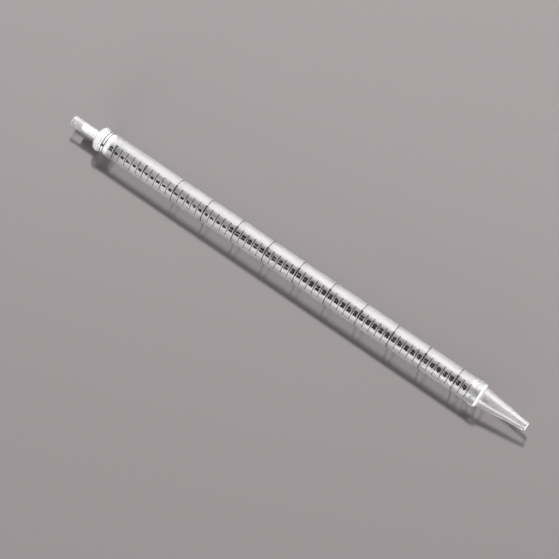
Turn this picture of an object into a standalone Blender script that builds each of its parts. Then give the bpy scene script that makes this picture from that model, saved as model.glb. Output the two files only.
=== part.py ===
# Serological pipette: an extruded clear barrel, a moulded tip welded into one end,
# a moulded mouthpiece welded into the other, and a fibre filter plug in the mouth tube.
# It lies along X on Z = 0, with its mouth end at -X and its tip at +X. Metres, +Z up.

import math

import bpy

MM = 0.001

# Barrel, an extruded tube open at both ends
BARREL_DIAMETER = 17.5 * MM
BARREL_WALL = 0.9 * MM
BARREL_LENGTH = 310.0 * MM

# Joints between the barrel and the two moulded ends
SPIGOT_GAP = 0.3 * MM        # radial, between a spigot and the barrel's bore
SEAT_GAP = 0.3 * MM          # axial, between a collar and the barrel's end
TIP_SPIGOT_LENGTH = 4.2 * MM
MOUTH_SPIGOT_LENGTH = 8.2 * MM
SPIGOT_CHAMFER = 0.4 * MM
BEAD_HEIGHT = 0.4 * MM       # how far each weld bead stands proud of the barrel

# Tip
TIP_BEAD_RISE = 2.3 * MM     # from the seat to the crest of the bead
TIP_BEAD_FALL = 3.9 * MM     # from the crest to the collar's end face
TIP_BEAD_DROP = 1.2 * MM     # how much lower the end face's edge lies than the crest
TIP_SHOULDER = 0.6 * MM      # width of the end face between that edge and the cone
TIP_CONE_LENGTH = 35.6 * MM
TIP_CONE_WALL = 1.2 * MM
TIP_STEP_DEPTH = 3.6 * MM    # from the end face to the step where the tapered bore starts
TIP_STEP_WIDTH = 0.3 * MM
TIP_RIM_WALL = 1.4 * MM
TIP_RIM_ROUND = 0.35 * MM
ORIFICE_DIAMETER = 3.4 * MM

# Mouthpiece
MOUTH_BEAD_RISE = 2.1 * MM   # from the seat to the crest of the bead
DOME_LENGTH = 3.6 * MM       # from the crest to the foot of the mouth tube
DOME_WALL = 1.1 * MM
MOUTH_FILLET = 0.5 * MM
MOUTH_TUBE_LENGTH = 21.2 * MM
MOUTH_TUBE_DIAMETER = 7.8 * MM
MOUTH_TUBE_WALL = 1.0 * MM
MOUTH_RIM_ROUND = 0.3 * MM
SPIGOT_WALL = 1.1 * MM       # of both spigots

# Filter plug
PLUG_RECESS = 8.4 * MM       # from the mouth rim to the plug
PLUG_LENGTH = 13.5 * MM
PLUG_GAP = 0.3 * MM          # radial, between the plug and the mouth tube's bore
PLUG_CROWN = 0.6 * MM

# Facets
SEGMENTS = 64                # around the axis
ARC_STEPS = 5                # in each quarter round
SMOOTH_ANGLE = math.radians(32)
MERGE_DISTANCE = 0.00001

# Radii and stations that follow from the sizes above
BARREL_RADIUS = BARREL_DIAMETER / 2
BORE_RADIUS = BARREL_RADIUS - BARREL_WALL
BEAD_RADIUS = BARREL_RADIUS + BEAD_HEIGHT
SPIGOT_RADIUS = BORE_RADIUS - SPIGOT_GAP
SPIGOT_BORE_RADIUS = SPIGOT_RADIUS - SPIGOT_WALL
MOUTH_RADIUS = MOUTH_TUBE_DIAMETER / 2
MOUTH_BORE_RADIUS = MOUTH_RADIUS - MOUTH_TUBE_WALL
TIP_LENGTH = TIP_BEAD_RISE + TIP_BEAD_FALL + TIP_CONE_LENGTH
MOUTHPIECE_LENGTH = MOUTH_BEAD_RISE + DOME_LENGTH + MOUTH_TUBE_LENGTH
TOTAL_LENGTH = MOUTHPIECE_LENGTH + SEAT_GAP + BARREL_LENGTH + SEAT_GAP + TIP_LENGTH

# Stations along the axis, from the middle of the whole pipette
MOUTH_SEAT = MOUTHPIECE_LENGTH - TOTAL_LENGTH / 2
BARREL_START = MOUTH_SEAT + SEAT_GAP
TIP_SEAT = BARREL_START + BARREL_LENGTH + SEAT_GAP
PLUG_START = PLUG_RECESS - TOTAL_LENGTH / 2


def clear_scene():
    for old in list(bpy.data.objects):
        bpy.data.objects.remove(old, do_unlink=True)


def quarter(start, end, along_axis_first):
    """A quarter ellipse between two (radius, station) points, tangent to the axis at one end
    and square to it at the other. The start point is left out and the end point is kept."""
    points = []
    for i in range(1, ARC_STEPS + 1):
        turn = math.pi / 2 * i / ARC_STEPS
        if along_axis_first:
            across, along = 1 - math.cos(turn), math.sin(turn)
        else:
            across, along = math.sin(turn), 1 - math.cos(turn)
        points.append((start[0] + (end[0] - start[0]) * across,
                       start[1] + (end[1] - start[1]) * along))
    return points


def barrel_profile():
    return [(BARREL_RADIUS, BARREL_LENGTH), (BARREL_RADIUS, 0),
            (BORE_RADIUS, 0), (BORE_RADIUS, BARREL_LENGTH)]


def tip_profile():
    """From the rim down the outside to the spigot, and back up the bore. Station 0 is the seat."""
    face = TIP_BEAD_RISE + TIP_BEAD_FALL
    edge_radius = BEAD_RADIUS - TIP_BEAD_DROP
    cone_radius = edge_radius - TIP_SHOULDER
    rim_radius = ORIFICE_DIAMETER / 2 + TIP_RIM_WALL

    step = face + TIP_STEP_DEPTH
    step_outer = cone_radius + (rim_radius - cone_radius) * TIP_STEP_DEPTH / TIP_CONE_LENGTH
    step_radius = step_outer - TIP_CONE_WALL

    rim_corner = (rim_radius - TIP_RIM_ROUND, TIP_LENGTH)
    crest = (BEAD_RADIUS, TIP_BEAD_RISE)
    outside = [rim_corner]
    outside += quarter(rim_corner, (rim_radius, TIP_LENGTH - TIP_RIM_ROUND), False)
    outside += [(cone_radius, face), (edge_radius, face)]
    outside += quarter((edge_radius, face), crest, False)
    outside += quarter(crest, (BARREL_RADIUS, 0), True)
    spigot = [(SPIGOT_RADIUS, 0),
              (SPIGOT_RADIUS, SPIGOT_CHAMFER - TIP_SPIGOT_LENGTH),
              (SPIGOT_RADIUS - SPIGOT_CHAMFER, -TIP_SPIGOT_LENGTH),
              (SPIGOT_BORE_RADIUS, -TIP_SPIGOT_LENGTH)]
    bore = [(step_radius + TIP_STEP_WIDTH, step), (step_radius, step),
            (ORIFICE_DIAMETER / 2, TIP_LENGTH)]
    return outside + spigot + bore


def mouthpiece_profile():
    """From the spigot down the outside to the mouth rim, and back up the bore.
    Station 0 is the seat, and the mouth lies below it."""
    foot = -MOUTH_BEAD_RISE - DOME_LENGTH
    crest = (BEAD_RADIUS, -MOUTH_BEAD_RISE)
    fillet_top = (MOUTH_RADIUS + MOUTH_FILLET, foot)
    fillet_foot = (MOUTH_RADIUS, foot - MOUTH_FILLET)
    rim_corner = (MOUTH_RADIUS, MOUTH_RIM_ROUND - MOUTHPIECE_LENGTH)

    spigot = [(SPIGOT_BORE_RADIUS, MOUTH_SPIGOT_LENGTH),
              (SPIGOT_RADIUS - SPIGOT_CHAMFER, MOUTH_SPIGOT_LENGTH),
              (SPIGOT_RADIUS, MOUTH_SPIGOT_LENGTH - SPIGOT_CHAMFER),
              (SPIGOT_RADIUS, 0)]
    outside = [(BARREL_RADIUS, 0)]
    outside += quarter((BARREL_RADIUS, 0), crest, False)
    outside += quarter(crest, fillet_top, True)
    outside += quarter(fillet_top, fillet_foot, False)
    outside += [rim_corner]
    outside += quarter(rim_corner, (MOUTH_RADIUS - MOUTH_RIM_ROUND, -MOUTHPIECE_LENGTH), True)
    dome_start = (MOUTH_BORE_RADIUS, foot + DOME_WALL)
    bore = [(MOUTH_BORE_RADIUS, -MOUTHPIECE_LENGTH), dome_start]
    bore += quarter(dome_start, (SPIGOT_BORE_RADIUS, 0), False)
    return spigot + outside + bore


def plug_profile():
    """A solid plug with crowned ends, from the axis at its top to the axis at its foot."""
    radius = MOUTH_BORE_RADIUS - PLUG_GAP
    top_side = (radius, PLUG_LENGTH - PLUG_CROWN)
    foot_side = (radius, PLUG_CROWN)
    points = [(0, PLUG_LENGTH)]
    points += quarter(points[0], top_side, False)
    points += [foot_side]
    points += quarter(foot_side, (0, 0), True)
    return points


def turned(name, profile, closed):
    """A mesh turned about Z from a profile of (radius, station) points, with a Screw modifier."""
    mesh = bpy.data.meshes.new(name + "_profile")
    count = len(profile)
    edges = [(i, i + 1) for i in range(count - 1)]
    if closed:
        edges.append((count - 1, 0))
    mesh.from_pydata([(radius, 0, station) for radius, station in profile], edges, [])
    guide = bpy.data.objects.new(name + "_guide", mesh)
    bpy.context.scene.collection.objects.link(guide)
    screw = guide.modifiers.new("turn", "SCREW")
    screw.axis = "Z"
    screw.angle = math.tau
    screw.steps = SEGMENTS
    screw.render_steps = SEGMENTS
    screw.use_merge_vertices = True
    screw.merge_threshold = MERGE_DISTANCE
    shown = guide.evaluated_get(bpy.context.evaluated_depsgraph_get())
    solid = bpy.data.meshes.new_from_object(shown)
    solid.name = name
    bpy.data.objects.remove(guide, do_unlink=True)
    bpy.data.meshes.remove(mesh)
    solid.shade_smooth()
    solid.set_sharp_from_angle(angle=SMOOTH_ANGLE)
    return solid


def surface(name, colour, roughness, transmission):
    material = bpy.data.materials.new(name)
    material.use_nodes = True
    shader = material.node_tree.nodes["Principled BSDF"]
    shader.inputs["Base Color"].default_value = (*colour, 1)
    shader.inputs["Roughness"].default_value = roughness
    shader.inputs["Metallic"].default_value = 0
    shader.inputs["Transmission Weight"].default_value = transmission
    shader.inputs["IOR"].default_value = 1.59
    return material


def axis_empty(collection):
    """The turning axis, laid along X and turned so that a flat facet, not an edge, is lowest."""
    axis = bpy.data.objects.new("pipette_axis", None)
    axis.location = (0, 0, BEAD_RADIUS * math.cos(math.pi / SEGMENTS))
    axis.rotation_mode = "ZYX"
    axis.rotation_euler = (0, math.pi / 2, math.pi / SEGMENTS)
    collection.objects.link(axis)
    return axis


def add_piece(collection, axis, name, profile, station, material, closed=True):
    piece = bpy.data.objects.new(name, turned(name, profile, closed))
    piece.data.materials.append(material)
    piece.parent = axis
    piece.location = (0, 0, station)
    collection.objects.link(piece)
    return piece


def build():
    clear_scene()
    collection = bpy.data.collections.new("serological_pipette")
    bpy.context.scene.collection.children.link(collection)
    axis = axis_empty(collection)
    extruded = surface("clear_extruded_polystyrene", (0.93, 0.95, 0.96), 0.03, 1.0)
    moulded = surface("clear_moulded_polystyrene", (0.94, 0.95, 0.97), 0.06, 1.0)
    fibre = surface("white_filter_fibre", (0.93, 0.93, 0.94), 0.95, 0.0)
    add_piece(collection, axis, "barrel", barrel_profile(), BARREL_START, extruded)
    add_piece(collection, axis, "tip", tip_profile(), TIP_SEAT, moulded)
    add_piece(collection, axis, "mouthpiece", mouthpiece_profile(), MOUTH_SEAT, moulded)
    add_piece(collection, axis, "filter_plug", plug_profile(), PLUG_START, fibre, closed=False)
    bpy.context.view_layer.update()


build()
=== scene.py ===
# Looks of a clear plastic serological pipette that lies on a pale studio floor.
# Its axis runs along X from the mouth to the tip, with Z up, in metres.

import math

import bmesh
import bpy
import numpy as np
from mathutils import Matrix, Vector


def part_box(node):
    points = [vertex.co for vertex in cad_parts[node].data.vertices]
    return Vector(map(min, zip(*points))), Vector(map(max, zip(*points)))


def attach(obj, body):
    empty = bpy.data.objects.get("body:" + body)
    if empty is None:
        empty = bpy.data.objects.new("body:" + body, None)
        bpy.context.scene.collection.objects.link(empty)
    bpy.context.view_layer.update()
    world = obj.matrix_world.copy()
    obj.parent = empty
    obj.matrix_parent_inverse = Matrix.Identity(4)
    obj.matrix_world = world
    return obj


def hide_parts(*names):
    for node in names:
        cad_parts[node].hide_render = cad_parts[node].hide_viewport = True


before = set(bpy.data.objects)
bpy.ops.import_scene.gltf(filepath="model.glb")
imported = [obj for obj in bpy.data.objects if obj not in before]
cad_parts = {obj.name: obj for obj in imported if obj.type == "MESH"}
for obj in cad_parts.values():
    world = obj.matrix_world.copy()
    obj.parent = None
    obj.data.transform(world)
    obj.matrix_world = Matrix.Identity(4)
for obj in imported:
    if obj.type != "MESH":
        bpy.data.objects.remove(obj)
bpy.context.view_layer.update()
mm = 0.001
scene = bpy.context.scene

barrelLow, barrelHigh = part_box("barrel")
tipLow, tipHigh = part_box("tip")
mouthLow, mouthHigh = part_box("mouthpiece")
plugLow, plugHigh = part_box("filter_plug")
axisHeight = (barrelLow.z + barrelHigh.z) / 2
print("frame loaded, axis", round(axisHeight / mm, 3), "mm above the floor")

fine = {
    "segments": 256,         # facets around the axis
    "arcSteps": 14,          # in each quarter round
    "cornerSteps": 4,        # in each softened corner
    "ringSegments": 180,     # facets around each printed ring
    "sharpAngle": math.radians(40),
}


# A point at a station along the axis, a radius and a turn: the turn starts straight up
# and grows towards -Y, so y = -r sin(turn) and z = axisHeight + r cos(turn).
def wrapped(station, radius, turn):
    station, radius, turn = np.broadcast_arrays(station, radius, turn)
    return np.stack([station, -radius * np.sin(turn), axisHeight + radius * np.cos(turn)], -1)


# A quarter ellipse between two (station, radius) points: across = 1 - cos and along = sin when it
# leaves along the axis, the other way round when it leaves square to it. It leaves out the start.
def quarterRound(start, end, alongFirst):
    turn = np.linspace(0, math.pi / 2, fine["arcSteps"] + 1)[1:]
    rise, run = 1 - np.cos(turn), np.sin(turn)
    along, across = (run, rise) if alongFirst else (rise, run)
    return np.stack([start[0] + (end[0] - start[0]) * along,
                     start[1] + (end[1] - start[1]) * across], -1)


# A corner softened by a parabola: (1-t)^2 a + 2t(1-t) corner + t^2 b, where a and b lie
# on the two sides, a size away from the corner.
def softCorner(before, corner, after, size):
    before, corner, after = (np.array(p, float) for p in (before, corner, after))
    a = corner + (before - corner) * size / np.linalg.norm(before - corner)
    b = corner + (after - corner) * size / np.linalg.norm(after - corner)
    t = np.linspace(0, 1, fine["cornerSteps"] + 1)[:, None]
    return (1 - t) ** 2 * a + 2 * t * (1 - t) * corner + t ** 2 * b


# Straight stretches of a profile cut into steps no longer than a length, by even shares.
def cutLong(profile, longest):
    points = []
    for start, end in zip(profile, np.roll(profile, -1, axis=0)):
        count = max(1, math.ceil(abs(end[0] - start[0]) / longest))
        points.append(start + (end - start) * np.arange(count)[:, None] / count)
    return np.concatenate(points)


# Six times a mesh's signed volume, from the triangles between each face's first point and the rest.
def signedVolume(points, faces):
    corner = points[faces]
    fan = [np.einsum("ij,ij->i", corner[:, 0], np.cross(corner[:, k], corner[:, k + 1]))
           for k in range(1, faces.shape[1] - 1)]
    return np.sum(fan)


# A closed mesh from points and sets of faces, turned so that the faces point outwards. Where
# there is more than one material, materialOf says which one each face takes.
def makePiece(name, points, faceSets, materials, materialOf=None, smooth=True):
    volume = sum(signedVolume(points, faces) for faces in faceSets)
    step = -1 if volume < 0 else 1
    allFaces = [face for faces in faceSets for face in faces[:, ::step].tolist()]
    mesh = bpy.data.meshes.new(name)
    mesh.from_pydata(points.tolist(), [], allFaces)
    for material in materials:
        mesh.materials.append(material)
    if materialOf is not None:
        mesh.polygons.foreach_set("material_index", np.asarray(materialOf, np.int32))
    mesh.validate()
    if smooth:
        mesh.shade_smooth()
        mesh.set_sharp_from_angle(angle=fine["sharpAngle"])
    piece = bpy.data.objects.new(name, mesh)
    scene.collection.objects.link(piece)
    return piece


# Quads of a grid of points numbered row by row, closed in either direction where it is asked.
def gridFaces(rows, columns, closeRows, closeColumns):
    i = np.arange(rows if closeRows else rows - 1)[:, None]
    j = np.arange(columns if closeColumns else columns - 1)[None, :]
    nextI, nextJ = (i + 1) % rows, (j + 1) % columns
    quads = [i * columns + j, nextI * columns + j, nextI * columns + nextJ, i * columns + nextJ]
    return np.stack([np.broadcast_to(q, (i.size, j.size)) for q in quads], -1).reshape(-1, 4)


# A closed profile of (station, radius) points carried once around the axis. pick is given each
# stretch's middle as (station, radius) and says which of the materials it takes.
def turnedPiece(name, profile, materials, pick=None):
    segments = fine["segments"]
    turn = np.arange(segments) * math.tau / segments
    points = wrapped(profile[:, 0, None], profile[:, 1, None], turn[None, :]).reshape(-1, 3)
    materialOf = None
    if pick:
        middle = (profile + np.roll(profile, -1, axis=0)) / 2
        materialOf = np.repeat(pick(middle[:, 0], middle[:, 1]), segments)
    return makePiece(name, points, [gridFaces(len(profile), segments, True, True)], materials, materialOf)


# Materials


def newMaterial(name):
    material = bpy.data.materials.new(name)
    material.use_nodes = True
    return material, material.node_tree.nodes, material.node_tree.links


# A shader node. A setting goes to the input of that name, or else to the node itself.
def addNode(nodes, kind, **settings):
    node = nodes.new("ShaderNode" + kind)
    for name, value in settings.items():
        if name in node.inputs:
            node.inputs[name].default_value = value
        else:
            setattr(node, name, value)
    return node


# A map from one range to another.
def addRange(nodes, toMin=0.0, toMax=1.0, fromMin=0.0, fromMax=1.0):
    limits = {"From Min": fromMin, "From Max": fromMax, "To Min": toMin, "To Max": toMax}
    return addNode(nodes, "MapRange", **limits)


# A colour ramp with a stop for each pair of a position and a colour.
def addRamp(nodes, *stops):
    node = addNode(nodes, "ValToRGB")
    elements = node.color_ramp.elements
    while len(elements) < len(stops):
        elements.new(0.5)
    for element, (position, colour) in zip(elements, stops):
        element.position = position
        element.color = (*colour, 1)
    return node


def grey(level):
    return (level, level, level)


# Two noises over the object's own coordinates, the first of them stretched, and their product.
def addNoises(nodes, links, stretch, first, second):
    place = addNode(nodes, "TexCoord")
    scaled = addNode(nodes, "Mapping", Scale=stretch)
    first = addNode(nodes, "TexNoise", Scale=1.0, **first)
    second = addNode(nodes, "TexNoise", **second)
    both = addNode(nodes, "Math", operation="MULTIPLY")
    links.new(place.outputs["Object"], scaled.inputs["Vector"])
    links.new(scaled.outputs["Vector"], first.inputs["Vector"])
    links.new(place.outputs["Object"], second.inputs["Vector"])
    links.new(first.outputs["Fac"], both.inputs[0])
    links.new(second.outputs["Fac"], both.inputs[1])
    return first.outputs["Fac"], second.outputs["Fac"], both.outputs["Value"]


# Gives the surface a colour ramp, a roughness range and a bump, each with what drives it.
def dressSurface(nodes, links, ramp, rampBy, rough, roughBy, height, heightBy):
    surface = nodes["Principled BSDF"]
    bump = addNode(nodes, "Bump", Strength=1.0, Distance=height)
    links.new(rampBy, ramp.inputs["Fac"])
    links.new(roughBy, rough.inputs["Value"])
    links.new(heightBy, bump.inputs["Height"])
    links.new(ramp.outputs["Color"], surface.inputs["Base Color"])
    links.new(rough.outputs["Result"], surface.inputs["Roughness"])
    links.new(bump.outputs["Normal"], surface.inputs["Normal"])


marksLook = {
    "specks": 2600.0,         # scale of the specks' noise
    "speckFrom": 0.66,        # the noise at which a speck starts
    "speckTo": 0.78,          # and where it is full
    "lineFrom": 0.35,         # the noise under which the surface is at its smoothest
}


# Faint lines that drawing or moulding leaves, and the roughness between them: one noise is
# stretched by the given scales for the lines, and a finer one that is not stretched adds specks.
def makeMarksGroup():
    group = bpy.data.node_groups.new("plastic_marks", "ShaderNodeTree")
    for name in ("Along", "Across", "Smooth", "Rough"):
        group.interface.new_socket(name=name, in_out="INPUT", socket_type="NodeSocketFloat")
    for name in ("Roughness", "Height"):
        group.interface.new_socket(name=name, in_out="OUTPUT", socket_type="NodeSocketFloat")
    nodes, links = group.nodes, group.links
    given = nodes.new("NodeGroupInput")
    result = nodes.new("NodeGroupOutput")
    place = addNode(nodes, "TexCoord")
    stretch = addNode(nodes, "CombineXYZ")
    scaled = addNode(nodes, "VectorMath", operation="MULTIPLY")
    lines = addNode(nodes, "TexNoise", Scale=1.0, Detail=3.0, Roughness=0.55)
    specks = addNode(nodes, "TexNoise", Scale=marksLook["specks"], Detail=1.0, Roughness=0.5)
    speckMask = addRange(nodes, fromMin=marksLook["speckFrom"], fromMax=marksLook["speckTo"])
    both = addNode(nodes, "Math", operation="MAXIMUM")
    spread = addRange(nodes, fromMin=marksLook["lineFrom"])
    links.new(given.outputs["Along"], stretch.inputs["X"])
    links.new(given.outputs["Across"], stretch.inputs["Y"])
    links.new(given.outputs["Across"], stretch.inputs["Z"])
    links.new(place.outputs["Object"], scaled.inputs[0])
    links.new(stretch.outputs["Vector"], scaled.inputs[1])
    links.new(scaled.outputs["Vector"], lines.inputs["Vector"])
    links.new(place.outputs["Object"], specks.inputs["Vector"])
    links.new(specks.outputs["Fac"], speckMask.inputs["Value"])
    links.new(lines.outputs["Fac"], both.inputs[0])
    links.new(speckMask.outputs["Result"], both.inputs[1])
    links.new(both.outputs["Value"], spread.inputs["Value"])
    links.new(given.outputs["Smooth"], spread.inputs["To Min"])
    links.new(given.outputs["Rough"], spread.inputs["To Max"])
    links.new(spread.outputs["Result"], result.inputs["Roughness"])
    links.new(lines.outputs["Fac"], result.inputs["Height"])
    return group


plasticLooks = {
    "barrel": {
        "name": "clear_extruded_plastic", "tint": (0.982, 0.98, 0.983), "transmission": 1.0, "milk": 0.0,
        "along": 8.0, "across": 900.0, "smooth": 0.277, "rough": 0.295, "height": 0.00015 * mm,
        "filmMiddle": 0.94, "filmEdge": 0.45, "filmFrom": 0.15, "filmTo": 0.62,
    },
    "moulded": {
        "name": "clear_moulded_plastic", "tint": (0.982, 0.98, 0.983), "transmission": 1.0, "milk": 0.0,
        "along": 300.0, "across": 500.0, "smooth": 0.277, "rough": 0.3, "height": 0.0004 * mm,
        "filmMiddle": 0.97, "filmEdge": 0.4, "filmFrom": 0.15, "filmTo": 0.62,
    },
    # Frosted white plastic for the tip's rim, and a painted highlight where it covers the collar's end
    # bevel.
    "collar": {
        "name": "frosted_collar_plastic", "tint": (0.985, 0.983, 0.992), "transmission": 0.3, "milk": 0.3,
        "along": 700.0, "across": 900.0, "smooth": 0.1, "rough": 0.25, "height": 0.006 * mm,
        "filmMiddle": 0.8, "filmEdge": 0.4, "filmFrom": 0.1, "filmTo": 0.6,
    },
    # The dome's white is partly frost and partly a painted highlight: its diffuse share makes it whiter
    # than frost alone.
    "dome": {
        "name": "frosted_dome_plastic", "tint": (0.985, 0.983, 0.992), "transmission": 0.6, "milk": 0.4,
        "along": 700.0, "across": 900.0, "smooth": 0.05, "rough": 0.2, "height": 0.006 * mm,
        "filmMiddle": 0.82, "filmEdge": 0.45, "filmFrom": 0.1, "filmTo": 0.6,
    },
    "weld": {
        "name": "hazy_weld_plastic", "tint": (0.985, 0.983, 0.992), "transmission": 0.22, "milk": 0.0,
        "along": 900.0, "across": 700.0, "smooth": 0.25, "rough": 0.6, "height": 0.01 * mm,
        "filmMiddle": 0.93, "filmEdge": 0.8, "filmFrom": 0.1, "filmTo": 0.6,
    },
}
plasticIor = 1.59
milkRadius = 0.35 * mm      # how far light wanders inside the milky plastic


# Clear or milky plastic: glass for what is seen, and for lamps a film whose tint darkens
# towards the edges, where a real tube bends their light away.
def makePlastic(look, marks):
    material, nodes, links = newMaterial(look["name"])
    glass = nodes["Principled BSDF"]
    glass.inputs["Base Color"].default_value = (*look["tint"], 1)
    glass.inputs["Transmission Weight"].default_value = look["transmission"]
    glass.inputs["IOR"].default_value = plasticIor
    glass.inputs["Subsurface Weight"].default_value = look["milk"]
    glass.inputs["Subsurface Radius"].default_value = (1, 1, 1)
    glass.inputs["Subsurface Scale"].default_value = milkRadius
    lines = addNode(nodes, "Group", node_tree=marks)
    for name, key in (("Along", "along"), ("Across", "across"), ("Smooth", "smooth"), ("Rough", "rough")):
        lines.inputs[name].default_value = look[key]
    bump = addNode(nodes, "Bump", Strength=1.0, Distance=look["height"])
    facing = addNode(nodes, "LayerWeight", Blend=0.5)
    ramp = addRamp(nodes, (look["filmFrom"], grey(look["filmMiddle"])),
                   (look["filmTo"], grey(look["filmEdge"])))
    film = addNode(nodes, "BsdfTransparent")
    path = addNode(nodes, "LightPath")
    either = addNode(nodes, "Math", operation="MAXIMUM")
    mix = addNode(nodes, "MixShader")
    links.new(lines.outputs["Roughness"], glass.inputs["Roughness"])
    links.new(lines.outputs["Height"], bump.inputs["Height"])
    links.new(bump.outputs["Normal"], glass.inputs["Normal"])
    links.new(facing.outputs["Facing"], ramp.inputs["Fac"])
    links.new(ramp.outputs["Color"], film.inputs["Color"])
    links.new(path.outputs["Is Shadow Ray"], either.inputs[0])
    links.new(path.outputs["Is Diffuse Ray"], either.inputs[1])
    links.new(either.outputs["Value"], mix.inputs["Fac"])
    links.new(glass.outputs["BSDF"], mix.inputs[1])
    links.new(film.outputs["BSDF"], mix.inputs[2])
    links.new(mix.outputs["Shader"], nodes["Material Output"].inputs["Surface"])
    return material


inkLook = {
    "thin": (0.05, 0.038, 0.033),        # where it is starved and browner
    "thinAt": 0.12,
    "solid": (0.017, 0.013, 0.012),      # where the ink lies thick
    "solidAt": 0.27,
    "mottle": 5200.0,
    "drag": (1300.0, 9000.0, 9000.0),    # streaks along the barrel from printing
    "smooth": 0.45,
    "rough": 0.75,
    "specular": 0.2,
    "height": 0.004 * mm,
}


def makeInk():
    material, nodes, links = newMaterial("printed_ink")
    surface = nodes["Principled BSDF"]
    surface.inputs["Specular IOR Level"].default_value = inkLook["specular"]
    _, mottle, both = addNoises(
        nodes, links, inkLook["drag"], {"Detail": 2.0, "Roughness": 0.6},
        {"Scale": inkLook["mottle"], "Detail": 3.0, "Roughness": 0.6})
    ramp = addRamp(nodes, (inkLook["thinAt"], inkLook["thin"]), (inkLook["solidAt"], inkLook["solid"]))
    rough = addRange(nodes, inkLook["rough"], inkLook["smooth"])
    dressSurface(nodes, links, ramp, both, rough, mottle, inkLook["height"], both)
    return material


fibreLook = {
    "shaded": (0.9, 0.9, 0.915),
    "shadedAt": 0.1,
    "bright": (0.985, 0.985, 0.982),
    "brightAt": 0.3,
    "strands": (900.0, 5200.0, 5200.0),
    "tufts": 700.0,
    "smooth": 0.8,
    "rough": 1.0,
    "specular": 0.2,
    "sheen": 0.3,
    "wander": 2.4 * mm,       # how far light wanders inside the wad
    "height": 0.05 * mm,
}


def makeFibre():
    material, nodes, links = newMaterial("white_fibre")
    surface = nodes["Principled BSDF"]
    surface.inputs["Subsurface Weight"].default_value = 1
    surface.inputs["Subsurface Radius"].default_value = (1, 1, 1)
    surface.inputs["Subsurface Scale"].default_value = fibreLook["wander"]
    surface.inputs["Specular IOR Level"].default_value = fibreLook["specular"]
    surface.inputs["Sheen Weight"].default_value = fibreLook["sheen"]
    strands, _, both = addNoises(
        nodes, links, fibreLook["strands"], {"Detail": 4.0, "Roughness": 0.65, "Distortion": 1.5},
        {"Scale": fibreLook["tufts"], "Detail": 3.0, "Roughness": 0.6})
    ramp = addRamp(nodes, (fibreLook["shadedAt"], fibreLook["shaded"]),
                   (fibreLook["brightAt"], fibreLook["bright"]))
    rough = addRange(nodes, fibreLook["rough"], fibreLook["smooth"])
    dressSurface(nodes, links, ramp, both, rough, strands, fibreLook["height"], strands)
    return material


marks = makeMarksGroup()
barrelPlastic, mouldedPlastic, rimFrostAndHighlightPlastic, domeFrostAndHighlightPlastic, weldPlastic = (
    makePlastic(look, marks) for look in plasticLooks.values())
ink = makeInk()
fibre = makeFibre()
print("materials made")


# Barrel

barrel = {
    "radius": 8.75 * mm,
    "wall": 0.9 * mm,
    "edge": 0.12 * mm,       # how far the cut edges are softened
    "step": 6 * mm,          # longest facet along the axis
}
boreRadius = barrel["radius"] - barrel["wall"]


def makeBarrel():
    corners = [(barrelLow.x, barrel["radius"]), (barrelHigh.x, barrel["radius"]),
               (barrelHigh.x, boreRadius), (barrelLow.x, boreRadius)]
    profile = np.concatenate([softCorner(corners[k - 1], corners[k], corners[(k + 1) % 4], barrel["edge"])
                              for k in range(4)])
    piece = turnedPiece("barrelTube", cutLong(profile, barrel["step"]), [barrelPlastic])
    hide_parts("barrel")
    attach(piece, "root")


makeBarrel()
print("barrel made")


# Moulded ends

joint = {
    "seam": 0.02 * mm,        # left between a moulded end and the barrel's cut end
    "spigotRadius": 7.55 * mm,
    "spigotWall": 1.1 * mm,
    "chamfer": 0.4 * mm,
    "beadRadius": 9.15 * mm,
    "rimEdge": 0.12 * mm,     # how far the rims' inner edges are softened
    "step": 1.5 * mm,         # longest facet along the axis
}
spigotBore = joint["spigotRadius"] - joint["spigotWall"]

tip = {
    "seat": barrelHigh.x + joint["seam"],
    "beadRise": 2.3 * mm,
    "beadFall": 3.9 * mm,
    "beadDrop": 1.2 * mm,
    "shoulder": 0.6 * mm,
    "coneWall": 1.2 * mm,
    "stepDepth": 3.6 * mm,
    "stepWidth": 0.3 * mm,
    "rimWall": 1.4 * mm,
    "rimRound": 0.35 * mm,
    "orifice": 1.7 * mm,      # its radius
    "softEdge": 0.2 * mm,
    # The collar's white end edge is a painted highlight on its bevel, not frost.
    "highlightFrom": 1.9 * mm,    # how far before the collar's face its white edge starts
    "highlightTo": 0.3 * mm,      # and how far past the face it runs
    "rimFrost": 0.55 * mm,    # how far the white edge of the rim reaches back
}

mouth = {
    "seat": barrelLow.x - joint["seam"],
    "beadRise": 2.1 * mm,
    "domeLength": 3.6 * mm,
    "domeWall": 1.1 * mm,
    "fillet": 0.5 * mm,
    "tubeRadius": 3.9 * mm,
    "tubeWall": 1.0 * mm,
    "rimRound": 0.3 * mm,
    "rimFrost": 0.45 * mm,    # how far the white edge of the rim reaches in
}


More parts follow.
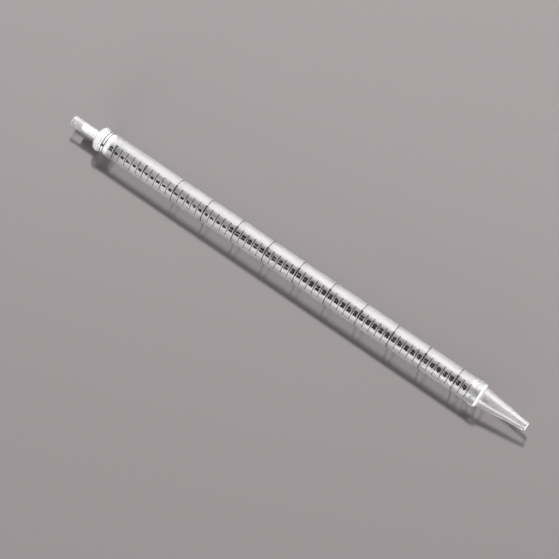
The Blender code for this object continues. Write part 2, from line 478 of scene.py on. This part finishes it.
def makeTip():
    seat, end = tip["seat"], tipHigh.x
    face = seat + tip["beadRise"] + tip["beadFall"]
    edgeRadius = joint["beadRadius"] - tip["beadDrop"]
    coneRadius = edgeRadius - tip["shoulder"]
    rimRadius = tip["orifice"] + tip["rimWall"]
    soft = tip["softEdge"]
    step = face + tip["stepDepth"]
    stepRadius = coneRadius + (rimRadius - coneRadius) * tip["stepDepth"] / (end - face) - tip["coneWall"]
    crest = (seat + tip["beadRise"], joint["beadRadius"])
    spigotEnd = tipLow.x
    rimStart = (end - tip["rimRound"], rimRadius)
    rimEnd = (end, rimRadius - tip["rimRound"])
    backShare = (tip["rimFrost"] - tip["rimRound"]) / (rimStart[0] - face)
    frostFoot = (end - tip["rimFrost"], rimRadius + (coneRadius - rimRadius) * backShare)
    profile = np.concatenate([
        [(spigotEnd, spigotBore), (spigotEnd, joint["spigotRadius"] - joint["chamfer"]),
         (spigotEnd + joint["chamfer"], joint["spigotRadius"]), (seat, joint["spigotRadius"]),
         (seat, barrel["radius"])],
        quarterRound((seat, barrel["radius"]), crest, False),
        quarterRound(crest, (face, edgeRadius), True)[:-1],
        softCorner((face, edgeRadius + soft), (face, edgeRadius), (face, coneRadius), soft),
        softCorner((face, edgeRadius), (face, coneRadius), rimStart, soft),
        [frostFoot, rimStart],
        quarterRound(rimStart, rimEnd, True),
        softCorner(rimEnd, (end, tip["orifice"]), (step, stepRadius), joint["rimEdge"]),
        [(step, stepRadius), (step, stepRadius + tip["stepWidth"])],
    ])

    # The rim is frosted white, and the collar's end edge is made white as a painted highlight on its
    # bevel.
    def frosted(station, radius):
        edge = (station > face - tip["highlightFrom"]) & (station < face + tip["highlightTo"])
        return (edge & (radius > coneRadius - soft)) | (station > end - tip["rimFrost"])

    materials = [mouldedPlastic, rimFrostAndHighlightPlastic]
    piece = turnedPiece("tipNozzle", cutLong(profile, joint["step"]), materials, frosted)
    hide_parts("tip")
    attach(piece, "root")


def makeMouthpiece():
    seat, end = mouth["seat"], mouthLow.x
    crest = (seat - mouth["beadRise"], joint["beadRadius"])
    foot = crest[0] - mouth["domeLength"]
    filletTop = (foot, mouth["tubeRadius"] + mouth["fillet"])
    filletFoot = (foot - mouth["fillet"], mouth["tubeRadius"])
    rimStart = (end + mouth["rimRound"], mouth["tubeRadius"])
    rimEnd = (end, mouth["tubeRadius"] - mouth["rimRound"])
    tubeBore = mouth["tubeRadius"] - mouth["tubeWall"]
    spigotEnd = mouthHigh.x
    domeStart = (foot + mouth["domeWall"], tubeBore)
    profile = np.concatenate([
        [(spigotEnd, spigotBore), (spigotEnd, joint["spigotRadius"] - joint["chamfer"]),
         (spigotEnd - joint["chamfer"], joint["spigotRadius"]), (seat, joint["spigotRadius"]),
         (seat, barrel["radius"])],
        quarterRound((seat, barrel["radius"]), crest, False),
        quarterRound(crest, filletTop, True),
        quarterRound(filletTop, filletFoot, False),
        [(end + mouth["rimFrost"], mouth["tubeRadius"]), rimStart],
        quarterRound(rimStart, rimEnd, True),
        softCorner(rimEnd, (end, tubeBore), domeStart, joint["rimEdge"]),
        [domeStart],
        quarterRound(domeStart, (seat, spigotBore), False),
    ])

    # The dome is white, partly frost and partly a painted highlight, and the rim is frosted white.
    def frosted(station, radius):
        dome = (station > foot - mouth["fillet"]) & (radius > mouth["tubeRadius"])
        return dome | (station < end + mouth["rimFrost"])

    materials = [mouldedPlastic, domeFrostAndHighlightPlastic]
    piece = turnedPiece("mouthTube", cutLong(profile, joint["step"]), materials, frosted)
    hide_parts("mouthpiece")
    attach(piece, "root")


weld = {
    "clear": 0.04 * mm,       # between it and the surfaces that it joins
    "short": 0.25 * mm,       # how far it stops before the spigot's chamfer
}


# The weld at the mouth: a thin white ring around the spigot.
def makeWeld():
    start, end = barrelLow.x, mouthHigh.x - joint["chamfer"] - weld["short"]
    inner, outer = joint["spigotRadius"] + weld["clear"], boreRadius - weld["clear"]
    profile = np.array([(start, inner), (end, inner), (end, outer), (start, outer)])
    piece = turnedPiece("mouthWeld", cutLong(profile, joint["step"]), [weldPlastic])
    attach(piece, "root")


makeTip()
makeMouthpiece()
makeWeld()
print("moulded ends made")


# Filter plug

plug = {
    "radius": 2.86 * mm,
    "squareness": 7,          # of its section along the axis
    "outlineSteps": 4000,
    "rows": 90,
    "columns": 96,
    "lumps": 26,
    "lumpHeight": 0.035 * mm,
    "lumpTurns": (-9, 10),    # waves around the plug
    "lumpPitch": (-3, 3),     # radians along it in each millimetre
    "seed": 11,
}


# A row of numbers between two limits for each strand or lump.
def between(rng, low, high, count):
    return rng.uniform(low, high, (count, 1))


# A rounded cylinder: x = half cos^k, r = R sin^k with k = 2 / squareness, shared out evenly along
# its outline, and lifted by a sum of slow sines of station and turn.
def makePlug():
    rng = np.random.default_rng(plug["seed"])
    half, middle = (plugHigh.x - plugLow.x) / 2, (plugHigh.x + plugLow.x) / 2
    sweep = np.linspace(0, math.pi, plug["outlineSteps"])
    power = 2 / plug["squareness"]
    station = -half * np.sign(np.cos(sweep)) * np.abs(np.cos(sweep)) ** power
    radius = plug["radius"] * np.abs(np.sin(sweep)) ** power
    length = np.concatenate([[0], np.cumsum(np.hypot(np.diff(station), np.diff(radius)))])
    share = np.linspace(0, length[-1], plug["rows"] + 2)[1:-1]
    station = middle + np.interp(share, length, station)[:, None]
    radius = np.interp(share, length, radius)[:, None]
    turn = (np.arange(plug["columns"]) * math.tau / plug["columns"])[None, :]
    lift = np.zeros((plug["rows"], plug["columns"]))
    for k in range(plug["lumps"]):
        waves = rng.integers(*plug["lumpTurns"])
        pitch = rng.uniform(*plug["lumpPitch"]) / mm
        lift += np.sin(pitch * station + waves * turn + rng.uniform(0, math.tau))
    lift *= plug["lumpHeight"] / math.sqrt(plug["lumps"])
    across = radius / plug["radius"]
    points = wrapped(station, radius + (lift - plug["lumpHeight"]) * across, turn).reshape(-1, 3)
    points = np.concatenate([points, wrapped(middle + np.array([-half, half]), 0.0, 0.0)])
    around = np.arange(plug["columns"])
    after = (around + 1) % plug["columns"]
    last = (plug["rows"] - 1) * plug["columns"]
    pole = np.full(plug["columns"], plug["rows"] * plug["columns"])
    caps = [np.stack([pole, after, around], -1), np.stack([pole + 1, last + around, last + after], -1)]
    side = gridFaces(plug["rows"], plug["columns"], False, True)
    piece = makePiece("filterFibre", points, [side, *caps], [fibre])
    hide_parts("filter_plug")
    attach(piece, "root")


strand = {
    "radius": 0.022 * mm,
    "steps": 12,
    "sunk": 0.03 * mm,        # how deep its middle lies in the plug
    "sideCount": 220,
    "reach": (0.8, 3.2),      # along the plug, in millimetres
    "margin": 0.9 * mm,       # kept clear at each end of the plug
    "waveHeight": (0.02, 0.12),
    "waves": (3, 9),
    "waveStart": (0, 6),
    "drift": (-0.9, 0.9),     # turn from its start to its end
    "endCount": 70,
    "endOffset": (-0.75, 0.75),     # from the axis, over the plug's radius
    "endReach": (0.3, 0.75),        # over the chord at that offset
    "endBow": (-0.5, 0.5),          # in millimetres
    "endLevel": (-0.02, 0.03),      # inwards from the plug's mouth end, in millimetres
}


# Thin three-sided strands along paths given as (strand, step) points: each corner lies at
# path + r (cos a outward + sin a sideways), and both ends are closed.
def strandMesh(path, outward):
    count, steps = path.shape[:2]
    ahead = np.gradient(path, axis=1)
    sideways = np.cross(ahead, outward)
    sideways /= np.linalg.norm(sideways, axis=-1, keepdims=True)
    corner = np.arange(3) * math.tau / 3
    ring = np.cos(corner)[:, None] * outward[:, :, None] + np.sin(corner)[:, None] * sideways[:, :, None]
    points = path[:, :, None] + strand["radius"] * ring
    first = np.arange(count)[:, None, None] * steps * 3
    sides = (first + gridFaces(steps, 3, False, True)).reshape(-1, 4)
    ends = (first + np.array([[2, 1, 0], [3 * steps - 3, 3 * steps - 2, 3 * steps - 1]])).reshape(-1, 3)
    return points.reshape(-1, 3), sides, ends


# Loose fibres on the plug: along its side station and turn drift with a slow wave, and on its
# mouth end they are shallow arcs across the face.
def makeStrands():
    rng = np.random.default_rng(plug["seed"] + 1)
    share = np.linspace(0, 1, strand["steps"])[None, :]
    count = strand["sideCount"]
    reach = between(rng, *strand["reach"], count) * mm
    room = plugHigh.x - plugLow.x - 2 * strand["margin"] - reach
    start = plugLow.x + strand["margin"] + between(rng, 0, 1, count) * room
    height = between(rng, *strand["waveHeight"], count)
    phase = share * between(rng, *strand["waves"], count) + between(rng, *strand["waveStart"], count)
    turn = between(rng, 0, math.tau, count) + between(rng, *strand["drift"], count) * share
    turn = turn + height * np.sin(phase)
    outward = wrapped(0.0, 1.0, turn) - wrapped(0.0, 0.0, 0.0)
    sidePath = wrapped(start + reach * share, plug["radius"] - strand["sunk"], turn)
    count = strand["endCount"]
    angle = between(rng, 0, math.tau, count)
    offset = between(rng, *strand["endOffset"], count) * plug["radius"]
    halfChord = np.sqrt(plug["radius"] ** 2 - offset ** 2)
    along = (share - 0.5) * 2 * between(rng, *strand["endReach"], count) * halfChord
    offset = offset + between(rng, *strand["endBow"], count) * mm * np.sin(share * math.pi)
    level = plugLow.x + between(rng, *strand["endLevel"], count) * mm + 0 * share
    endPath = np.stack([level, along * np.cos(angle) - offset * np.sin(angle),
                        axisHeight + along * np.sin(angle) + offset * np.cos(angle)], -1)
    endOutward = np.broadcast_to([-1.0, 0.0, 0.0], endPath.shape)
    paths = np.concatenate([sidePath, endPath])
    points, sides, ends = strandMesh(paths, np.concatenate([outward, endOutward]))
    piece = makePiece("filterStrands", points, [sides, ends], [fibre])
    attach(piece, "root")


makePlug()
makeStrands()
print("filter plug made")


# Printed scale

printed = {
    "zeroAfter": 12.4,              # millilitres from the barrel's mouth end to the 0 ring
    "front": math.radians(15.73),   # the turn that the ticks are set out from
    "twist": math.radians(-13),     # how far the print winds around the barrel, in each metre
    "sink": 0.012 * mm,
    "stand": 0.018 * mm,
    "lowest": -10,
    "highest": 47,
    "ringEvery": 5,
    "endRings": (-12.03, -11.64),   # the pair at the barrel's mouth end
    "ringHalf": 0.225 * mm,
}
millilitre = 1000 / (math.pi * (boreRadius / mm) ** 2) * mm
zeroStation = barrelLow.x + printed["zeroAfter"] * millilitre
inkFoot = barrel["radius"] - printed["sink"]
inkTop = barrel["radius"] + printed["stand"]
inkSide = np.array([-1, 1, 1, -1])          # the four corners of a mark's section
inkRadius = np.array([inkFoot, inkFoot, inkTop, inkTop])


def markStation(value):
    return zeroStation + np.asarray(value, float) * millilitre


def frontAt(station):
    return printed["front"] + printed["twist"] * station


# One piece of slabs that follow the barrel, one at each value: a four-cornered section is carried
# along angles from the front, with its half width given at each of them, and its ends are closed.
def makeSlabs(name, values, half, angle):
    stations = markStation(values)
    turns = frontAt(stations)[:, None] + angle
    count, steps = turns.shape
    half = np.broadcast_to(half, turns.shape)
    points = wrapped(stations[:, None, None] + inkSide * half[:, :, None], inkRadius, turns[:, :, None])
    ends = np.array([[0, 1, 2, 3], [4 * steps - 1, 4 * steps - 2, 4 * steps - 3, 4 * steps - 4]])
    quads = np.concatenate([gridFaces(steps, 4, False, True), ends])
    faces = (np.arange(count)[:, None, None] * steps * 4 + quads).reshape(-1, 4)
    piece = makePiece(name, points.reshape(-1, 3), [faces], [ink], smooth=False)
    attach(piece, "root")


# Closed rings of the same four-cornered section.
def makeRings():
    values = np.arange(0, printed["highest"] + 1, printed["ringEvery"])
    stations = markStation(np.concatenate([values, printed["endRings"]]))
    segments = fine["ringSegments"]
    turn = np.arange(segments) * math.tau / segments
    sides = stations[:, None, None] + inkSide * printed["ringHalf"]
    points = wrapped(sides, inkRadius, turn[None, :, None])
    quads = gridFaces(segments, 4, True, True)
    faces = (np.arange(len(stations))[:, None, None] * segments * 4 + quads).reshape(-1, 4)
    piece = makePiece("scaleRings", points.reshape(-1, 3), [faces], [ink], smooth=False)
    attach(piece, "root")


ringBar = {
    "half": 0.95 * mm,        # half its length along the barrel
    "from": math.radians(16.4),
    "to": math.radians(25.2),
    "steps": 6,
}


# The short dark bar that joins the two rings at the mouth end.
def makeRingBar():
    angle = np.linspace(ringBar["from"], ringBar["to"], ringBar["steps"])
    makeSlabs("ringBar", [np.mean(printed["endRings"])], ringBar["half"], angle)


tickLook = {
    "from": math.radians(-18),
    "to": math.radians(56),
    "thickTo": math.radians(24),
    "blend": math.radians(6),       # over which a thick tick becomes a thin one
    "steps": 40,
    "thin": 0.19 * mm,              # half the width of a tick, and so are the next four
    "thick": 0.25 * mm,
    "fiveThin": 0.26 * mm,
    "fiveThick": 0.48 * mm,
    "bar": 1.1 * mm,
    "barDeep": math.radians(3.2),
}


def makeTicks():
    values = np.arange(printed["lowest"], printed["highest"] + 1)
    share = np.linspace(0, 1, tickLook["steps"])
    angle = tickLook["from"] + (tickLook["to"] - tickLook["from"]) * share
    fives = values % printed["ringEvery"] == 0
    thick = np.where(fives, tickLook["fiveThick"], tickLook["thick"])[:, None]
    thin = np.where(fives, tickLook["fiveThin"], tickLook["thin"])[:, None]
    blend = np.clip((angle - tickLook["thickTo"]) / tickLook["blend"] + 0.5, 0, 1)
    half = thick * (1 - blend) + thin * blend
    bar = fives[:, None] & (angle < tickLook["from"] + tickLook["barDeep"])[None, :]
    makeSlabs("scaleTicks", values, np.where(bar, tickLook["bar"], half), angle)


backLook = {
    "from": math.radians(122),
    "to": math.radians(198),
    "half": 0.11 * mm,
    "steps": 30,
    "full": 50,                     # the numbers there count down from this
    "numberLeft": math.radians(184),
    "numberScale": 0.8,
}


def makeBackTicks():
    angle = np.linspace(backLook["from"], backLook["to"], backLook["steps"])
    makeSlabs("backTicks", np.arange(0, printed["highest"] + 1), backLook["half"], angle)


numberLook = {
    "height": 3.0 * mm,
    "width": 2.05 * mm,
    "oneWidth": 0.62,        # of a 1, over the other digits
    "pitch": 1.9 * mm,
    "foot": 1.2 * mm,        # from the tick to the foot of the digits
    "left": math.radians(24),
    "bold": 0.135,
    "extrude": 0.5,
    "curveSteps": 2,
    "facet": 0.33 * mm,      # widest strip that a digit is cut into
    "merge": 1e-5,           # corners of the text nearer than this become one
}


# One digit as a flat closed slab, scaled to a height and width, cut square to its width so that
# it can follow the barrel. Returns its points (along, up, side) and its triangles.
def digitSlab(digit, height, width):
    text = bpy.data.curves.new("digit", "FONT")
    text.body = digit
    text.offset = numberLook["bold"]
    text.extrude = numberLook["extrude"]
    text.resolution_u = numberLook["curveSteps"]
    holder = bpy.data.objects.new("digit", text)
    scene.collection.objects.link(holder)
    bpy.context.view_layer.update()
    flat = bpy.data.meshes.new_from_object(holder.evaluated_get(bpy.context.evaluated_depsgraph_get()))
    bpy.data.objects.remove(holder)
    bpy.data.curves.remove(text)
    work = bmesh.new()
    work.from_mesh(flat)
    bpy.data.meshes.remove(flat)
    bmesh.ops.remove_doubles(work, verts=work.verts, dist=numberLook["merge"])
    points = np.array([v.co for v in work.verts])
    low, high = points.min(0), points.max(0)
    for share in np.arange(numberLook["facet"] / width, 1, numberLook["facet"] / width):
        cut = (low[0] + (high[0] - low[0]) * share, 0, 0)
        everything = work.verts[:] + work.edges[:] + work.faces[:]
        bmesh.ops.bisect_plane(work, geom=everything, dist=numberLook["merge"],
                               plane_co=cut, plane_no=(1, 0, 0))
    bmesh.ops.triangulate(work, faces=work.faces)
    work.verts.index_update()
    points = np.array([v.co for v in work.verts])
    faces = np.array([[v.index for v in f.verts] for f in work.faces])
    work.free()
    size = high - low
    wide = width * (numberLook["oneWidth"] if digit == "1" else 1)
    points = (points - (low + high) / 2) / size * (wide, height, 1)
    points[:, 1] += height / 2
    return points, faces


# Numbers beside their ticks. A digit's width runs around the barrel, so turn = left - along / radius,
# and its height runs towards the mouth, so station = tick - foot - up.
def makeNumbers(name, values, shown, left, scale):
    height, width, pitch = (numberLook[k] * scale for k in ("height", "width", "pitch"))
    stations = markStation(values) - numberLook["foot"]
    texts = [str(v) for v in shown]
    allPoints, allFaces, used = [], [], 0
    for digit in "0123456789":
        places = [(stations[k], (place + 0.5) * pitch) for k, text in enumerate(texts)
                  for place, letter in enumerate(text) if letter == digit]
        if not places:
            continue
        points, faces = digitSlab(digit, height, width)
        station, along = np.array(places).T
        turn = left + frontAt(station)[:, None] - (along[:, None] + points[None, :, 0]) / barrel["radius"]
        radius = np.where(points[:, 2] > 0, inkTop, inkFoot)[None, :]
        placed = wrapped(station[:, None] - points[None, :, 1], radius, turn)
        allPoints.append(placed.reshape(-1, 3))
        starts = used + np.arange(len(places)) * len(points)
        allFaces.append((starts[:, None, None] + faces).reshape(-1, 3))
        used += len(places) * len(points)
    piece = makePiece(name, np.concatenate(allPoints), [np.concatenate(allFaces)], [ink], smooth=False)
    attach(piece, "root")


makeRings()
makeRingBar()
makeTicks()
makeBackTicks()
frontValues = np.arange(printed["lowest"], printed["highest"] + 1)
makeNumbers("scaleNumbers", frontValues, np.abs(frontValues), numberLook["left"], 1)
backValues = np.arange(0, printed["highest"] + 1)
backShown = backLook["full"] - backValues
makeNumbers("backNumbers", backValues, backShown, backLook["numberLeft"], backLook["numberScale"])
print("scale printed")


# Studio

floorLook = {
    "size": 8.0,
    "colour": (0.313, 0.288, 0.293),
    "shades": (0.985, 1.015),       # of the colour, in the troughs and crests of its grain
    "shadesAt": (0.3, 0.7),
    "grain": 900.0,
    "roughness": (0.22, 0.28),
    "mirrored": 0.5,                # its gloss where the plastic mirrors it, at a low angle
    "seen": 0.06,                   # its gloss as the camera sees it from above
}


# The floor looks matt from above, and its gloss only counts where the plastic mirrors it.
def makeFloor():
    half = floorLook["size"] / 2
    level = axisHeight - joint["beadRadius"]
    corners = [(x * half, y * half, level) for x, y in ((-1, -1), (1, -1), (1, 1), (-1, 1))]
    mesh = bpy.data.meshes.new("floor")
    mesh.from_pydata(corners, [], [(0, 1, 2, 3)])
    material, nodes, links = newMaterial("floor_grey")
    surface = nodes["Principled BSDF"]
    path = addNode(nodes, "LightPath")
    shine = addRange(nodes, floorLook["mirrored"], floorLook["seen"])
    links.new(path.outputs["Is Camera Ray"], shine.inputs["Value"])
    links.new(shine.outputs["Result"], surface.inputs["Specular IOR Level"])
    place = addNode(nodes, "TexCoord")
    grain = addNode(nodes, "TexNoise", Scale=floorLook["grain"], Detail=3.0, Roughness=0.6)
    shades = [[c * shade for c in floorLook["colour"]] for shade in floorLook["shades"]]
    colour = addRamp(nodes, *zip(floorLook["shadesAt"], shades))
    gloss = addRange(nodes, *floorLook["roughness"])
    links.new(place.outputs["Object"], grain.inputs["Vector"])
    links.new(grain.outputs["Fac"], colour.inputs["Fac"])
    links.new(grain.outputs["Fac"], gloss.inputs["Value"])
    links.new(colour.outputs["Color"], surface.inputs["Base Color"])
    links.new(gloss.outputs["Result"], surface.inputs["Roughness"])
    mesh.materials.append(material)
    floor = bpy.data.objects.new("floor", mesh)
    scene.collection.objects.link(floor)


softboxLook = {
    "radius": 1.0,
    "top": math.radians(86),
    "bottom": math.radians(3),
    "from": -1.0,
    "to": 0.8,
    "rows": 24,
    "glow": ((3, 2.6), (25, 3.3), (68, 5.2), (74, 3.6), (80, 0.85)),    # strength at a rise in degrees
    "full": 10,               # strength that a white stop of the ramp stands for
    "slant": 0.2,             # how much sooner it dims towards +X, in right angles a metre
    "middle": -0.19,          # the station where the rises hold
}


# An arc of softbox about the pipette: y = r cos(rise), z = axisHeight + r sin(rise), for each
# station. Its cloth glows more with the rise, and dims again near the top.
def makeSoftbox():
    rows, radius = softboxLook["rows"], softboxLook["radius"]
    rise = np.linspace(softboxLook["bottom"], softboxLook["top"], rows)[:, None]
    along = np.array([softboxLook["from"], softboxLook["to"]])[None, :]
    rise, along = np.broadcast_arrays(rise, along)
    points = np.stack([along, radius * np.cos(rise), axisHeight + radius * np.sin(rise)], -1)
    mesh = bpy.data.meshes.new("softbox")
    mesh.from_pydata(points.reshape(-1, 3).tolist(), [], gridFaces(rows, 2, False, False).tolist())
    material, nodes, links = newMaterial("softbox_cloth")
    nodes.remove(nodes["Principled BSDF"])
    place = addNode(nodes, "TexCoord")
    split = addNode(nodes, "SeparateXYZ")
    angle = addNode(nodes, "Math", operation="ARCTAN2")
    shift = softboxLook["slant"] * softboxLook["middle"]
    share = addRange(nodes, -shift, 1 - shift, fromMax=math.pi / 2)
    share.clamp = False
    slant = addNode(nodes, "Math", operation="MULTIPLY_ADD")
    slant.inputs[1].default_value = softboxLook["slant"]
    level = addRamp(nodes, *((degrees / 90, grey(strength / softboxLook["full"]))
                             for degrees, strength in softboxLook["glow"]))
    times = addNode(nodes, "Math", operation="MULTIPLY")
    times.inputs[1].default_value = softboxLook["full"]
    glow = addNode(nodes, "Emission")
    links.new(place.outputs["Object"], split.inputs["Vector"])
    links.new(split.outputs["Z"], angle.inputs[0])
    links.new(split.outputs["Y"], angle.inputs[1])
    links.new(angle.outputs["Value"], share.inputs["Value"])
    links.new(split.outputs["X"], slant.inputs[0])
    links.new(share.outputs["Result"], slant.inputs[2])
    links.new(slant.outputs["Value"], level.inputs["Fac"])
    links.new(level.outputs["Color"], times.inputs[0])
    links.new(times.outputs["Value"], glow.inputs["Strength"])
    links.new(glow.outputs["Emission"], nodes["Material Output"].inputs["Surface"])
    mesh.materials.append(material)
    softbox = bpy.data.objects.new("softbox", mesh)
    scene.collection.objects.link(softbox)
    softbox.visible_camera = False
    softbox.visible_diffuse = False
    softbox.visible_shadow = False


keyLook = {
    "power": 231.0,
    "size": 0.55,
    "distance": 4.5,
    "towards": (-0.38, 0.762, 1.0),
}

# Under lit stand the pieces that a lamp lights, where it isn't all of them.
sunLooks = {
    "fillLamp": {
        "strength": 2.2, "angle": math.radians(25), "towards": (0.1, -0.98, 0.12),
        "onlyMirrored": False, "lit": (),
    },
    "edgeLamp": {
        "strength": 1.85, "angle": math.radians(38), "towards": (0.1, -0.98, 0.18),
        "onlyMirrored": True, "lit": ("barrelTube", "tipNozzle"),
    },
    "insideLamp": {
        "strength": 2.3, "angle": math.radians(60), "towards": (0.1, -0.6, 0.8),
        "onlyMirrored": False,
        "lit": ("filterFibre", "filterStrands", "mouthWeld", "tipNozzle", "mouthTube"),
    },
}


# A lamp that is not mirrored or seen through plastic.
def makeLamp(name, kind, towards, distance, lit=()):
    lamp = bpy.data.lights.new(name, kind)
    holder = bpy.data.objects.new(name, lamp)
    if lit:
        only = bpy.data.collections.new(name)
        for piece in lit:
            only.objects.link(bpy.data.objects[piece])
        holder.light_linking.receiver_collection = only
    towards = Vector(towards).normalized()
    holder.location = towards * distance
    holder.rotation_euler = towards.to_track_quat("Z", "Y").to_euler()
    holder.visible_camera = False
    holder.visible_glossy = False
    holder.visible_transmission = False
    scene.collection.objects.link(holder)
    return holder


# The key lamp gives the shadow, and the fill lifts the sides that face -Y. The edge lamp is only
# mirrored, in the plastic's lower side. The inside lamp reaches only the white and milky pieces,
# which real plastic carries light to.
def makeLamps():
    key = makeLamp("keyLamp", "AREA", keyLook["towards"], keyLook["distance"]).data
    key.shape = "DISK"
    key.size = keyLook["size"]
    key.energy = keyLook["power"]
    for name, look in sunLooks.items():
        sun = makeLamp(name, "SUN", look["towards"], 1, look["lit"])
        sun.data.energy = look["strength"]
        sun.data.angle = look["angle"]
        sun.visible_glossy = look["onlyMirrored"]
        sun.visible_diffuse = not look["onlyMirrored"]


surroundings = {
    "colour": (1, 0.98, 0.985, 1),
    "ambient": 0.15,
    "seen": 0.85,             # as seen directly, mirrored or through plastic
    "seenLow": 0.1,           # low down on the -Y side they are dark
    "lean": 0.9,              # how much Y counts beside Z
    "lowTo": -0.2,            # up to this sum of the two it is low down
    "highFrom": 0.35,         # and from this one on it is not
}


# The surroundings are dimmer as a light than they look, directly or by way of gloss and plastic.
def makeWorld():
    world = bpy.data.worlds.new("studio")
    world.use_nodes = True
    nodes, links = world.node_tree.nodes, world.node_tree.links
    nodes["Background"].inputs["Color"].default_value = surroundings["colour"]
    path = addNode(nodes, "LightPath")
    mirrored = addNode(nodes, "Math", operation="MAXIMUM")
    place = addNode(nodes, "TexCoord")
    split = addNode(nodes, "SeparateXYZ")
    height = addNode(nodes, "Math", operation="MULTIPLY_ADD")
    height.inputs[1].default_value = surroundings["lean"]
    dark = addRange(nodes, surroundings["seenLow"], surroundings["seen"],
                    surroundings["lowTo"], surroundings["highFrom"])
    level = addRange(nodes, toMin=surroundings["ambient"])
    final = addRange(nodes, toMax=surroundings["seen"])
    links.new(place.outputs["Generated"], split.inputs["Vector"])
    links.new(split.outputs["Y"], height.inputs[0])
    links.new(split.outputs["Z"], height.inputs[2])
    links.new(height.outputs["Value"], dark.inputs["Value"])
    links.new(path.outputs["Is Glossy Ray"], mirrored.inputs[0])
    links.new(path.outputs["Is Transmission Ray"], mirrored.inputs[1])
    links.new(mirrored.outputs["Value"], level.inputs["Value"])
    links.new(dark.outputs["Result"], level.inputs["To Max"])
    links.new(path.outputs["Is Camera Ray"], final.inputs["Value"])
    links.new(level.outputs["Result"], final.inputs["To Min"])
    links.new(final.outputs["Result"], nodes["Background"].inputs["Strength"])
    scene.world = world


cameraSet = {
    "lens": 103.04,
    "sensor": 36,
    "clip": (0.05, 50),
    "azimuth": math.radians(35.65),
    "elevation": math.radians(71.6),
    "target": (-3.15 * mm, -11.8 * mm),
    "distance": 1090 * mm,
}


def makeCamera():
    data = bpy.data.cameras.new("camera")
    data.lens = cameraSet["lens"]
    data.sensor_width = cameraSet["sensor"]
    data.clip_start, data.clip_end = cameraSet["clip"]
    camera = bpy.data.objects.new("camera", data)
    azimuth, elevation = cameraSet["azimuth"], cameraSet["elevation"]
    back = np.array([math.sin(azimuth) * math.cos(elevation), -math.cos(azimuth) * math.cos(elevation),
                     math.sin(elevation)])
    camera.location = np.array([*cameraSet["target"], axisHeight]) + back * cameraSet["distance"]
    camera.rotation_euler = (math.pi / 2 - elevation, 0, azimuth)
    scene.collection.objects.link(camera)
    scene.camera = camera


makeFloor()
makeSoftbox()
makeLamps()
makeWorld()
makeCamera()
scene.view_settings.view_transform = "Standard"
scene.cycles.use_denoising = True
scene.cycles.max_bounces = 24
scene.cycles.transmission_bounces = 24
scene.cycles.glossy_bounces = 16
scene.cycles.transparent_max_bounces = 32
print("studio made")
